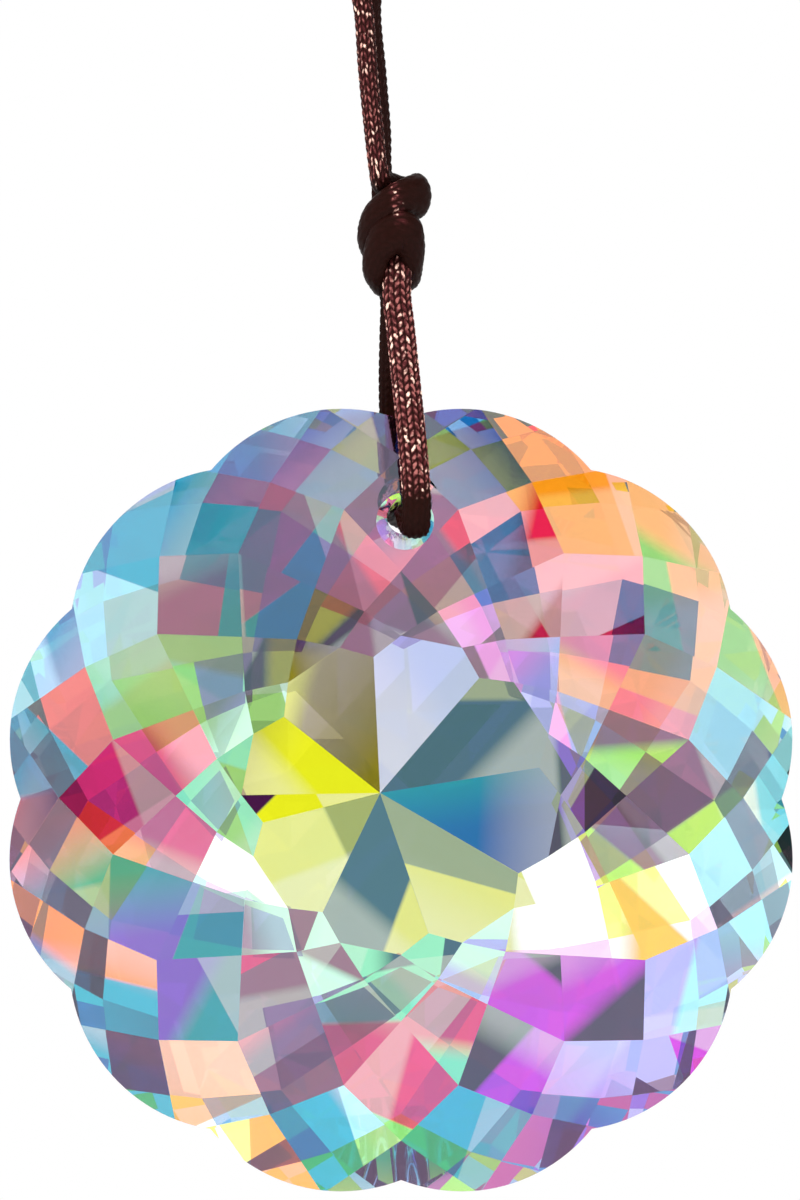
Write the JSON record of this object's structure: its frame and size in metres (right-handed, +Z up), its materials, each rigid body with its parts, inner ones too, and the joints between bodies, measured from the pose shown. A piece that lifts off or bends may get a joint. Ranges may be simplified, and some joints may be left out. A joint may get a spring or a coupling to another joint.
{
  "type": "crystal suncatcher",
  "caption": "Scalloped, faceted crystal lens with an iridescent coating, hung by a braided cord that is tied in a knot above it.",
  "frame": {"origin": "top of the inside of the hanging loop, where a hook or nail carries the suncatcher", "axes": "+Z up, the front of the crystal faces -Y, +X to the right seen from the front"},
  "size_m": [0.0588, 0.0215, 0.105],
  "materials": {
    "crystal": "clear polished lead-free crystal, faceted, with a thin iridescent coating",
    "cord": "dark brown braided satin cord with a coppery sheen"
  },
  "bodies": {
    "root": {"crystal": "crystal", "lower_loop": "cord", "knot": "cord", "hanging_loop": "cord"}
  },
  "joints": []
}
